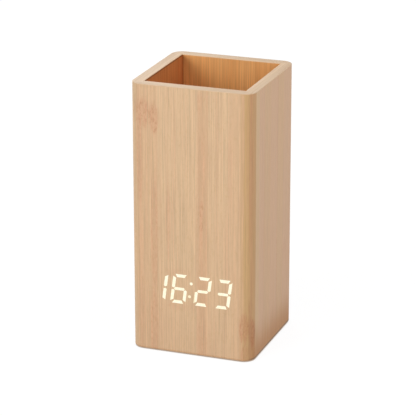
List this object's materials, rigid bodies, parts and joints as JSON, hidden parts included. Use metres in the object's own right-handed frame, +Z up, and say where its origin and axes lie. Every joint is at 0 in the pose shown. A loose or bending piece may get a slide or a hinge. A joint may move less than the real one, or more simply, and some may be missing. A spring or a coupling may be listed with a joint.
{
  "type": "pen holder clock",
  "caption": "Square wooden desk clock with glowing digits low on its front face and an open pen cup above, with a rear battery door, keys and power socket.",
  "frame": {"origin": "middle of the footprint, on the table under the foot pads", "axes": "+Z up to the rim of the cup, -Y out of the clock face, +X to the right of the face"},
  "size_m": [0.074, 0.074, 0.16],
  "materials": {
    "film": "satin",
    "lining": "satin",
    "board": "matte",
    "steel_screw": "satin",
    "foam_pad": "matte",
    "display_black": "matte",
    "display_filling": "satin",
    "lit_bar": "satin",
    "light_chip": "glossy",
    "tinned": "satin",
    "circuit_board": "satin",
    "nylon": "satin",
    "chip_black": "matte",
    "chip_resistor": "satin",
    "chip_capacitor": "satin",
    "capacitor_sleeve": "satin",
    "ribbon_grey": "satin",
    "housing_plastic": "satin",
    "button_plastic": "satin",
    "plunger_plastic": "satin",
    "port_metal": "satin",
    "cell_wrap": "glossy",
    "spring_steel": "satin",
    "lead_red": "satin",
    "lead_black": "satin"
  },
  "bodies": {
    "case": {"outer_film": "film", "cup_lining": "lining", "cup_floor": "lining", "front_panel": "board", "back_panel": "board", "left_panel": "board", "right_panel": "board", "corner_blocks": "board", "base_plate": "board", "base_screws": "steel_screw", "board_screws": "steel_screw", "housing_screws": "steel_screw", "control_screws": "steel_screw", "foot_pads": "foam_pad", "display_housing": "display_black", "display_fillings": "display_filling", "lit_segments": "lit_bar", "light_chips": "light_chip", "display_pins": "tinned", "crystal_can": "tinned", "main_board": "circuit_board", "control_board": "circuit_board", "board_spacers": "nylon", "battery_socket": "nylon", "battery_plug": "nylon", "clock_chip": "chip_black", "driver_chips": "chip_black", "buzzer": "chip_black", "ribbon_sockets": "chip_black", "switch_bodies": "chip_black", "port_tongue": "chip_black", "steering_diode": "chip_black", "chip_resistors": "chip_resistor", "chip_capacitors": "chip_capacitor", "capacitor": "capacitor_sleeve", "ribbon_cable": "ribbon_grey", "rear_housing": "housing_plastic", "port_shell": "port_metal", "battery_cells": "cell_wrap", "battery_springs": "spring_steel", "contact_plates": "spring_steel", "positive_lead": "lead_red", "negative_lead": "lead_black"},
    "set_key": {"set_button": "button_plastic", "set_plunger": "plunger_plastic"},
    "up_key": {"up_button": "button_plastic", "up_plunger": "plunger_plastic"},
    "down_key": {"down_button": "button_plastic", "down_plunger": "plunger_plastic"},
    "door": {"battery_door": "housing_plastic"}
  },
  "joints": [
    {"name": "set_press", "type": "slide", "parent": "case", "child": "set_key", "axis": [0, -1, 0], "range_m": [0, 0.0005], "stiffness_N_per_m": 400, "springref_m": -0.001},
    {"name": "up_press", "type": "slide", "parent": "case", "child": "up_key", "axis": [0, -1, 0], "range_m": [0, 0.0005], "stiffness_N_per_m": 400, "springref_m": -0.001},
    {"name": "down_press", "type": "slide", "parent": "case", "child": "down_key", "axis": [0, -1, 0], "range_m": [0, 0.0005], "stiffness_N_per_m": 400, "springref_m": -0.001},
    {"name": "door_hinge", "type": "hinge", "parent": "case", "child": "door", "pos_m": [0, 0.035, 0.0179], "axis": [-1, 0, 0], "range_deg": [0, 90]}
  ]
}
